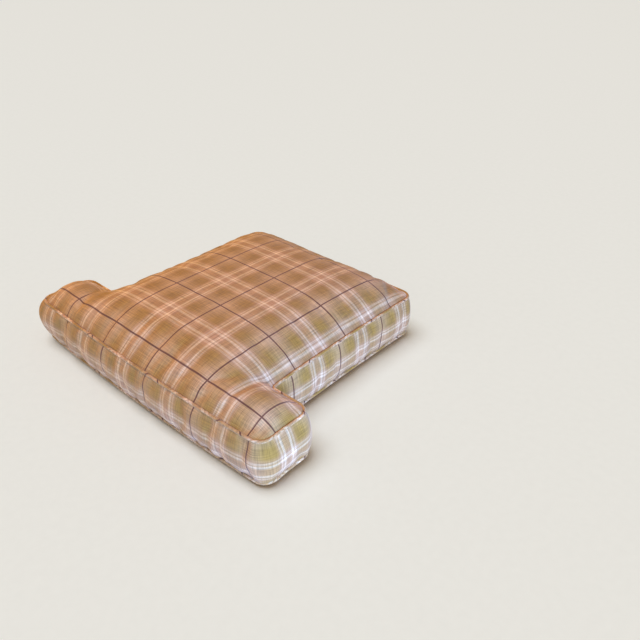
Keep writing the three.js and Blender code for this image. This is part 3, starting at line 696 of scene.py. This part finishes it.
def yarn_shade(nodes, uv, slub, painted_paleness):
    """How bright the cloth is: single yarns, thick ones and broad patches all differ. Its base level is the
    plaid's pale factor, a painted highlight that lightens cloth which is to look more lit.
    """
    thick = crossed_yarns(nodes, uv, THICK_YARN, THICK_SLUBS_PER_METRE)
    patch = nodes.math("MULTIPLY_ADD", nodes.noise(uv, 9, 3.0), 0.16, 0.92)
    # The base level is painted highlight: above 1 makes the cloth paler than its yarns, as if more lit.
    shade = nodes.math("MULTIPLY_ADD", nodes.math("SUBTRACT", slub, 1.0), SLUB_CONTRAST, painted_paleness)
    shade = nodes.math("MULTIPLY_ADD", nodes.math("SUBTRACT", thick, 1.0), THICK_CONTRAST, shade)
    return nodes.math("MULTIPLY", shade, patch)


def plaid_material(name, turned=0.0, painted_paleness=1.0):
    """A twill-woven plaid. Its third argument lightens its yarns: a painted highlight, for cloth that is to
    look as if it caught more light.
    """
    nodes = Nodes(name)
    uv = cloth_coordinates(nodes, turned)
    waver = nodes.noise(uv, 14, 1.0, output="Color")
    wavering = nodes.vector_math("MULTIPLY_ADD", waver, (WAVER, WAVER, 0), uv)
    split = nodes.fill(nodes.add("ShaderNodeSeparateXYZ"), {"Vector": wavering})
    u, v = split.outputs["X"], split.outputs["Y"]
    warp, warp_dark = stripes(nodes, u, REPEAT_ACROSS)
    weft, weft_dark = stripes(nodes, v, REPEAT_ALONG)

    # Twill: which of the two yarns lies on top
    diagonal = nodes.math("MULTIPLY", nodes.math("ADD", u, v), 2 * math.pi / (TWILL_YARNS * YARN))
    rib = nodes.math("SINE", diagonal)
    color = nodes.mix(nodes.math("MULTIPLY_ADD", rib, TWILL_CONTRAST, 0.5), warp, weft)
    dark = nodes.math("MAXIMUM", warp_dark, weft_dark)
    color = nodes.mix(nodes.math("MULTIPLY", dark, DARK_SHARE), color, PLUM)

    slub = crossed_yarns(nodes, uv, YARN, SLUBS_PER_METRE)
    weave = nodes.math("ADD", nodes.math("MULTIPLY", rib, 0.5), slub)
    return nodes.surface(
        {
            "Base Color": nodes.mix(1.0, color, yarn_shade(nodes, uv, slub, painted_paleness), blend="MULTIPLY"),
            "Roughness": 0.92,
            "Specular IOR Level": 0.2,
            "Sheen Weight": 0.27,
            "Sheen Roughness": 0.5,
            "Normal": nodes.bump(weave, 0.0002, 0.6),
        }
    )


def woven_material(name, color, yarn, roughness=0.9, variation=0.12):
    """Plain woven cloth in one colour of yarn."""
    nodes = Nodes(name)
    place = nodes.place()
    bands = []
    for direction in ("X", "Z"):
        wave = nodes.add("ShaderNodeTexWave", wave_type="BANDS", bands_direction=direction)
        bands.append(nodes.fill(wave, {"Scale": 1 / (2 * yarn), "Vector": place}).outputs["Fac"])
    normal = nodes.bump(nodes.math("MULTIPLY", *bands), yarn / 4, 0.6)
    dark = tuple(c * (1 - 2 * variation) for c in color[:3]) + (1,)
    patched = nodes.mix(nodes.noise(place, 30, 4.0), dark, color)
    return nodes.surface({"Base Color": patched, "Roughness": roughness, "Normal": normal})


def foam_material():
    nodes = Nodes("polyurethane_foam")
    cells = nodes.add("ShaderNodeTexVoronoi", feature="F1")
    wall = nodes.fill(cells, {"Scale": 700, "Vector": nodes.place()}).outputs["Distance"]
    color = nodes.mix(wall, srgb("d8c48c"), srgb("efe3b8"))
    return nodes.surface({"Base Color": color, "Roughness": 0.9, "Normal": nodes.bump(wall, 0.0006)})


def fibre_material():
    nodes = Nodes("polyester_fibre")
    strands = nodes.strands(nodes.place(), (60, 260, 260), 6.0, 0.7)
    color = nodes.mix(strands, srgb("d9d6cf"), srgb("faf9f6"))
    normal = nodes.bump(strands, 0.004)
    return nodes.surface({"Base Color": color, "Roughness": 1.0, "Sheen Weight": 0.4, "Normal": normal})


def cord_material():
    nodes = Nodes("filler_cord")
    twist = nodes.strands(cloth_coordinates(nodes, 0.0), (900, 300, 0), 3.0)
    color = nodes.mix(twist, srgb("cfc6b2"), srgb("f2ecdd"))
    return nodes.surface({"Base Color": color, "Roughness": 0.95, "Normal": nodes.bump(twist, 0.0004)})


def metal_material():
    """Antiqued brass: darker in patches, with fine scratches."""
    nodes = Nodes("zipper_metal")
    place = nodes.place()
    tarnish = nodes.noise(place, 260, 5.0)
    scratches = nodes.strands(place, (300, 4000, 4000), 2.0)
    return nodes.surface(
        {
            "Base Color": nodes.mix(tarnish, srgb("5e4524"), srgb("c4a068")),
            "Metallic": 1.0,
            "Roughness": nodes.math("MULTIPLY_ADD", tarnish, 0.35, 0.15),
            "Normal": nodes.bump(scratches, 0.00005, 0.5),
        }
    )


def nylon_material():
    nodes = Nodes("zipper_nylon")
    wear = nodes.noise(nodes.place(), 180, 3.0)
    color = nodes.mix(wear, srgb("8f7450"), srgb("b79a70"))
    return nodes.surface({"Base Color": color, "Roughness": 0.4, "Normal": nodes.bump(wear, 0.00005)})


def dress(piece, material):
    piece.data.materials.clear()
    piece.data.materials.append(material)


def add_to_cushion(piece, node, material):
    """Lets a piece stand for a CAD node of the cushion's body, in its material."""
    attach(piece, "cushion")
    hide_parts(node)
    dress(piece, material)


# ---- Pieces of the cover ----


def sweep(name, path, across, up, section, turns=0.0, bulk=None):
    """A closed section carried round a closed path. Cloth coordinates: along, and round it."""
    section = np.array(section)
    count, sides = len(path), len(section)
    bulk = np.ones(count) if bulk is None else bulk
    round_it, _ = lengths_along(section)
    gaps = np.linalg.norm(np.roll(path, -1, 0) - path, axis=1)
    along = np.concatenate([[0], np.cumsum(gaps)])
    points = []
    for n in range(count):
        angle = turns * along[n]
        cos, sin = math.cos(angle), math.sin(angle)
        out = section[:, 0] * cos - section[:, 1] * sin
        rise = section[:, 0] * sin + section[:, 1] * cos
        points.append(path[n] + bulk[n] * (out[:, None] * across[n] + rise[:, None] * up))
    points = np.concatenate(points)
    faces, cloth = [], []
    for n in range(count):
        here, there = n * sides, ((n + 1) % count) * sides
        for k in range(sides):
            m = (k + 1) % sides
            faces.append([here + k, there + k, there + m, here + m])
            v = (round_it[k], round_it[k] + np.linalg.norm(section[m] - section[k]))
            cloth += [
                (along[n], v[0]),
                (along[n + 1], v[0]),
                (along[n + 1], v[1]),
                (along[n], v[1]),
            ]
    return new_object(name, points, faces, cloth)


def resampled(loop, spacing):
    """A closed loop's points at an even spacing, on the loop's own line."""
    distances, whole = lengths_along(loop)
    closed = np.vstack([loop, loop[:1]])
    stations = np.append(distances, whole)
    at = np.linspace(0, whole, round(whole / spacing) + 1)[:-1]
    return np.stack([np.interp(at, stations, closed[:, axis]) for axis in range(2)], axis=1)


def circle(radius, sides, lobes=0, depth=0.0):
    """Points round a circle, or round one with as many lobes as a cord has strands."""
    angles = np.arange(sides) * 2 * math.pi / sides
    reach = radius * (1 - depth + depth * np.cos(lobes * angles))
    return np.stack([reach * np.cos(angles), reach * np.sin(angles)], axis=1)


WELT_RADIUS = 0.0031
WELT_SIDES = 14
WELT_OUT = 0.0016  # the welt sits a little outside the seam that holds it
WELT_SPACING = 0.003  # of the points along it
WELT_ROUNDS = 5  # of smoothing
WELT_RISE = 0.0003  # how far it wanders up and down
WELT_RISE_LENGTH = 0.026
WELT_UNEVENNESS = 0.07
WANDER_LENGTHS = (0.0071, 0.0173, 0.0031)
CORD_RADIUS = 0.0021
CORD_SIDES = 12
CORD_STRANDS = 3
STRAND_DEPTH = 0.16  # of the grooves between them, as a share of the radius
CORD_TWIST = 0.018  # length of one turn of the strands


def uneven(along, amount):
    """A factor near 1 that wanders along a sewn strip."""
    wander = sum(np.sin(along / length + start) for start, length in enumerate(WANDER_LENGTHS))
    return 1 + amount * wander / len(WANDER_LENGTHS)


def add_welt(name, seam, fabric, cord_look):
    """A welt round a seam: a strip of fabric, cut on the bias, round a twisted filler cord."""
    path = smoothed(resampled(seam[:, :2], WELT_SPACING), WELT_ROUNDS)
    out = outwards(path)
    along, _ = lengths_along(path)
    level = seam[0, 2] + WELT_RISE * np.sin(along / WELT_RISE_LENGTH)
    place = np.column_stack([path + out * WELT_OUT, level])
    across = np.column_stack([out, np.zeros(len(out))])
    up = np.array([0, 0, 1.0])
    bulk = uneven(along, WELT_UNEVENNESS)
    cover = sweep(f"{name}_welt", place, across, up, circle(WELT_RADIUS, WELT_SIDES), bulk=bulk)
    add_to_cushion(cover, f"{name}_welt_cover", fabric)
    strands = circle(CORD_RADIUS, CORD_SIDES, CORD_STRANDS, STRAND_DEPTH)
    cord = sweep(f"{name}_filler_cord", place, across, up, strands, turns=2 * math.pi / CORD_TWIST)
    add_to_cushion(cord, f"{name}_welt_filler_cord", cord_look)
    return cover


def add_panel(cover, panel, plaid):
    """One of the cover's panels, in its own piece of cloth."""
    chosen = [n for n, name in enumerate(cover.panel) if name == panel]
    piece = panel_object(
        f"{panel}_cloth",
        cover.points,
        [cover.faces[n] for n in chosen],
        [cover.cloth[n] for n in chosen],
    )
    add_to_cushion(piece, panel, plaid)
    return piece


HEM_FOLD = 0.0001  # how far the inside of the fold reaches over the zipper
HEM_SECTION = [  # (out from the seam line, distance from the zipper's middle), round the fold
    (HEM_OUT + FABRIC, PLACKET_HALF - FABRIC / 2),
    (HEM_OUT, PLACKET_HALF - HEM_FOLD),
    (HEM_OUT, PLACKET_HALF + HEM_WIDTH / 2),
    (HEM_OUT, PLACKET_HALF + HEM_WIDTH),
]


def add_rear_strip(cover, name, side, plaid):
    """Half of the rear boxing, with its hem folded in along the zipper."""
    rows = cover.rows[:LEVELS_EACH_SIDE] if side > 0 else cover.rows[LEVELS_EACH_SIDE:][::-1]
    seam = cover.plan_seam
    behind = [n for n in range(len(seam)) if is_rear(seam[n]) or is_rear(seam[n - 1])]
    behind.sort(key=lambda n: -seam[n][0])
    points, cloth_points = [], []
    drop = np.linspace(0, -HALF_SPACING, len(rows) + len(HEM_SECTION))
    for n in behind:
        strip = [cover.points[row[n]] for row in rows]
        x = strip[0][0]
        for out, away in HEM_SECTION:
            strip.append(np.array([x, FRONT_Y + DEPTH + out, MIDDLE + side * away]))
        points += strip
        cloth_points += [(x + REAR_CLOTH_SHIFT, side * v + BOXING_CLOTH_SHIFT) for v in drop]
    width = len(rows) + len(HEM_SECTION)
    faces = []
    for n in range(len(behind) - 1):
        for r in range(width - 1):
            a, b = n * width + r, (n + 1) * width + r
            faces.append([a, a + 1, b + 1, b] if side > 0 else [a, b, b + 1, a + 1])
    cloth = [[cloth_points[v] for v in face] for face in faces]
    piece = panel_object(f"{name}_cloth", np.array(points), faces, cloth)
    add_to_cushion(piece, name, plaid)
    return piece


# ---- Zipper: stitching and coils ----

STITCH_PITCH = 0.0034
STITCH_LENGTH = 0.0026
THREAD_RADIUS = 0.0003
STITCH_FROM_FOLD = 0.0045
STITCH_HEIGHT = 0.7  # of its axis above the cloth, in thread radiuses
# Along half a stitch: share of its length, share of its radius, rise in shares of STITCH_RISE
STITCH_END = (-0.5, 0.25, -1.0)
STITCH_SHOULDER = (-0.42, 0.9, 0.2)
STITCH_MIDDLE = (0.0, 1.0, 0.8)
STITCH_RISE = 0.4  # in thread radiuses
THREAD_SIDES = 6


def round_turn(count):
    """Evenly spaced angles round a full turn."""
    return [2 * math.pi * k / count for k in range(count)]


def tube_faces(start, rings, sides=THREAD_SIDES):
    """Faces of a tube with closed ends. Its points come ring by ring from the start number."""
    faces = []
    for ring in range(rings - 1):
        for k in range(sides):
            a, b = start + ring * sides + k, start + ring * sides + (k + 1) % sides
            faces.append((a, b, b + sides, a + sides))
    last = start + (rings - 1) * sides
    faces.append(tuple(range(start + sides - 1, start - 1, -1)))
    faces.append(tuple(range(last, last + sides)))
    return faces


def add_stitching(thread):
    """Two rows of topstitches that hold the hems to the zipper's tapes."""
    points, faces = [], []
    profile = [STITCH_END, STITCH_SHOULDER, STITCH_MIDDLE]
    profile += [(-share, bulk, rise) for share, bulk, rise in (STITCH_SHOULDER, STITCH_END)]
    for side in (1, -1):
        away = PLACKET_HALF + STITCH_FROM_FOLD
        surface = DEPTH + REAR_SWELL * share_of_swell(away)
        for middle in np.arange(-CHAIN_HALF, CHAIN_HALF, STITCH_PITCH):
            faces += tube_faces(len(points), len(profile))
            for share, bulk, rise in profile:
                for angle in round_turn(THREAD_SIDES):
                    height = STITCH_HEIGHT + STITCH_RISE * rise + bulk * math.cos(angle)
                    y = FRONT_Y + surface + THREAD_RADIUS * height
                    z = MIDDLE + side * away + THREAD_RADIUS * bulk * math.sin(angle)
                    points.append((middle + share * STITCH_LENGTH, y, z))
    cloth = [(points[v][0], points[v][2]) for face in faces for v in face]
    made = new_object("placket_stitching", points, faces, cloth)
    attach(made, "cushion")
    dress(made, thread)


COIL_PITCH = 0.0015
COIL_WIRE = 0.0003
COIL_STEPS = 12  # to a turn
COIL_REACH = 0.0002  # past the CAD's bar, so that the coils' heads meet


def add_coil(name, side, nylon):
    """A nylon coil sewn along one tape: a flattened helix whose heads meet the other coil's."""
    low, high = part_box(name)
    middle_out, half_out = (low.y + high.y) / 2, (high.y - low.y) / 2 - COIL_WIRE
    near, far = sorted((abs(low.z - MIDDLE), abs(high.z - MIDDLE)))
    near -= COIL_REACH
    middle_rise, half_rise = (near + far) / 2, (far - near) / 2 - COIL_WIRE
    count = int((high.x - low.x - 2 * COIL_WIRE) / COIL_PITCH) * COIL_STEPS
    turns = np.arange(count + 1) / COIL_STEPS
    angle = 2 * math.pi * turns
    start = 0 if side > 0 else 0.5  # one coil's heads lie between the other's
    path = np.column_stack(
        [
            low.x + COIL_WIRE + COIL_PITCH * (turns + start),
            middle_out + half_out * np.sin(angle),
            MIDDLE + side * (middle_rise - half_rise * np.cos(angle)),
        ]
    )
    path[:, 0] = np.minimum(path[:, 0], high.x - COIL_WIRE)
    along = np.gradient(path, axis=0)
    along /= np.linalg.norm(along, axis=1)[:, None]
    first = np.cross(along, [1.0, 0, 0])
    first /= np.linalg.norm(first, axis=1)[:, None]
    second = np.cross(along, first)
    points = [
        path + COIL_WIRE * (first * math.cos(turn) + second * math.sin(turn))
        for turn in round_turn(THREAD_SIDES)
    ]
    points = np.stack(points, axis=1).reshape(-1, 3)
    made = new_object(f"{name}_wire", points, tube_faces(0, len(path)))
    add_to_cushion(made, name, nylon)


# ---- Inner pad ----

CASING_INSIDE = 0.0045
CASING_INSIDE_REAR = 0.0088  # more at the rear, where the slider runs between them


def casing_node(panel):
    """The casing's piece that lies behind a panel of the cover."""
    return {"top_panel": "casing_top", "bottom_panel": "casing_bottom"}.get(panel, "casing_band")


def add_casing(cover, cotton):
    """The cotton casing follows the cover's inside, a little away from it."""
    normals = normals_of(cover.points, cover.faces)
    rear = cover.plan_seam[:, 1] > DEPTH - CORNER_RADIUS
    depth = np.full(len(cover.points), CASING_INSIDE)
    for row in cover.rows:
        depth[[v for v, at_rear in zip(row, rear) if at_rear]] = CASING_INSIDE_REAR
    points = cover.points - normals * depth[:, None]
    pieces = []
    for node in ("casing_top", "casing_bottom", "casing_band"):
        chosen = [n for n, panel in enumerate(cover.panel) if casing_node(panel) == node]
        piece = panel_object(
            f"{node}_cloth",
            points,
            [cover.faces[n] for n in chosen],
            [cover.cloth[n] for n in chosen],
            thickness=COTTON,
            levels=0,
        )
        add_to_cushion(piece, node, cotton)
        pieces.append(piece)
    return pieces


FIBRE_CLEARANCE = 0.0008  # between the fibre and the casing
TUFT_SIZE = 0.03
TUFT_DEPTH = 0.0012


def kept_inside(layer, cover):
    """Moves a layer's points inwards where they would come through the casing."""
    tree = BVHTree.FromPolygons([tuple(point) for point in cover.points], cover.faces)
    for vertex in layer.data.vertices:
        nearest, normal, _, _ = tree.find_nearest(vertex.co)
        at_rear = nearest.y > FRONT_Y + DEPTH - CORNER_RADIUS
        depth = (CASING_INSIDE_REAR if at_rear else CASING_INSIDE) + COTTON + FIBRE_CLEARANCE
        if (nearest - vertex.co).dot(normal) < depth:
            vertex.co = nearest - normal * depth


def add_fibre(node, cover, fibre):
    """A padding layer with the CAD node's place, softened, with a tufted, uneven surface."""
    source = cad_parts[node].data
    made = bpy.data.objects.new(f"{node}_layer", source.copy())
    bpy.context.collection.objects.link(made)
    made.data.shade_smooth()
    remesh = made.modifiers.new("even", "REMESH")
    remesh.mode = "VOXEL"
    remesh.voxel_size = CELL
    remesh.use_smooth_shade = True
    soften = made.modifiers.new("soften", "SMOOTH")
    soften.factor = 0.5
    soften.iterations = 3
    evened = made.evaluated_get(bpy.context.evaluated_depsgraph_get())
    made.data = bpy.data.meshes.new_from_object(evened)
    made.modifiers.clear()
    kept_inside(made, cover)
    texture = bpy.data.textures.new(f"{node}_tufts", "CLOUDS")
    texture.noise_scale = TUFT_SIZE
    tufts = made.modifiers.new("tufts", "DISPLACE")
    tufts.texture = texture
    tufts.strength = TUFT_DEPTH
    tufts.mid_level = 1.0
    add_to_cushion(made, node, fibre)
    return made


# ---- Room: floor, light, camera ----

CAMERA_PLACE = (1.0007, -0.879, 0.921)
CAMERA_AZIMUTH = 40.99
CAMERA_ELEVATION = 32.76
CAMERA_ROLL = 0.84
LENS = 37.26
SENSOR = 36.0
FLOOR_HALF = 14.0


def add_camera():
    data = bpy.data.cameras.new("camera")
    data.sensor_width = SENSOR
    data.lens = LENS
    camera = bpy.data.objects.new("camera", data)
    bpy.context.collection.objects.link(camera)
    camera.location = CAMERA_PLACE
    tilt = Euler(
        (math.radians(90 - CAMERA_ELEVATION), 0, math.radians(CAMERA_AZIMUTH)), "XYZ"
    ).to_matrix()
    roll = Matrix.Rotation(math.radians(CAMERA_ROLL), 3, "Z")
    camera.rotation_euler = (tilt @ roll).to_euler()
    bpy.context.scene.camera = camera


def add_floor():
    nodes = Nodes("floor")
    grain = nodes.noise(nodes.place(), 60, 4.0)
    nodes.surface({"Base Color": nodes.mix(grain, srgb("f6f6f5"), srgb("fbfbfa")), "Roughness": 0.8})
    half = FLOOR_HALF
    corners = [(-half, -half, 0), (half, -half, 0), (half, half, 0), (-half, half, 0)]
    floor = new_object("floor", corners, [(0, 1, 2, 3)], smooth=False)
    floor.data.materials.append(nodes.material)
    return floor


def add_light(name, place, target, power, size, color):
    data = bpy.data.lights.new(name, "AREA")
    data.energy = power
    data.size = size
    data.color = color
    light = bpy.data.objects.new(name, data)
    bpy.context.collection.objects.link(light)
    light.location = place
    light.visible_camera = False
    aim = Vector(target) - Vector(place)
    light.rotation_euler = aim.to_track_quat("-Z", "Y").to_euler()
    return light


def link_to_floor(light, floor, state):
    """Sets whether a light reaches only the floor (INCLUDE), or everything else (EXCLUDE)."""
    receivers = bpy.data.collections.new(f"{light.name}_receivers")
    receivers.objects.link(floor)
    light.light_linking.receiver_collection = receivers
    receivers.collection_objects[0].light_linking.link_state = state


def add_sun(name, strength, angle, tilt, color):
    data = bpy.data.lights.new(name, "SUN")
    data.energy = strength
    data.angle = math.radians(angle)
    data.color = color
    sun = bpy.data.objects.new(name, data)
    bpy.context.collection.objects.link(sun)
    sun.rotation_euler = tilt
    return sun


def add_room():
    floor = add_floor()
    lamp = add_light(
        "warm_lamp", place=(-1.7, -0.55, 2.4), target=(0, 0, 0.1), power=57, size=1.6, color=(1, 0.55, 0.22)
    )
    link_to_floor(lamp, floor, "EXCLUDE")
    daylight = add_light(
        "daylight",
        place=(1.5, -0.6, 0.42),
        target=(0.35, -0.2, 0.06),
        power=48,
        size=0.8,
        color=(0.24, 0.45, 1),
    )
    link_to_floor(daylight, floor, "EXCLUDE")
    tilt = (math.radians(12), math.radians(-10), 0)
    floor_light = add_sun("floor_light", strength=1.7, angle=40, tilt=tilt, color=(0.85, 0.94, 1))
    link_to_floor(floor_light, floor, "INCLUDE")
    world = bpy.data.worlds.new("room")
    bpy.context.scene.world = world
    world.use_nodes = True
    background = world.node_tree.nodes["Background"]
    background.inputs["Color"].default_value = (1.0, 0.83, 0.63, 1)
    background.inputs["Strength"].default_value = 0.40
    bpy.context.scene.view_settings.view_transform = "Standard"
    add_camera()


# ---- Assembly ----

add_room()

plaid = plaid_material("plaid_fabric")
# The welt's cloth is painted 8 % paler: a painted highlight for the light that the round welt catches.
plaid_bias = plaid_material("plaid_fabric_bias", turned=math.radians(45), painted_paleness=1.08)
cotton = woven_material("cotton_fabric", srgb("e9e3d5"), yarn=0.0005)
tape = woven_material("zipper_tape", srgb("ba9d77"), yarn=0.0004, variation=0.08)
foam = foam_material()
fibre = fibre_material()
cord_look = cord_material()
metal = metal_material()
nylon = nylon_material()

cover = Cover()
cover.points = settled(cover.points, cover.faces, cover.held_points())
cover.points = puckered(cover.points, cover.faces, cover.seam_lines())
cover.points[:, 2] = np.maximum(cover.points[:, 2], FLATTENED)

padded = [
    add_panel(cover, panel, plaid)
    for panel in ("top_panel", "bottom_panel", "front_boxing", "left_side_boxing", "right_side_boxing")
]
padded += [
    add_rear_strip(cover, name, side, plaid)
    for name, side in (("rear_boxing_upper", 1), ("rear_boxing_lower", -1))
]
padded += [
    add_welt(name, seam, plaid_bias, cord_look)
    for name, seam in zip(("top", "bottom"), cover.seam_lines())
]
padded += add_casing(cover, cotton)
padded += [add_fibre(node, cover, fibre) for node in ("fibre_pad_top", "fibre_pad_bottom", "fibre_band")]
add_stitching(cord_look)
add_coil("zipper_coil_upper", 1, nylon)
add_coil("zipper_coil_lower", -1, nylon)

for name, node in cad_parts.items():
    if name.startswith("zipper_tape"):
        dress(node, tape)
    elif name.startswith("zipper") and not name.startswith("zipper_coil"):
        dress(node, metal)
    elif name == "foam_core":
        dress(node, foam)
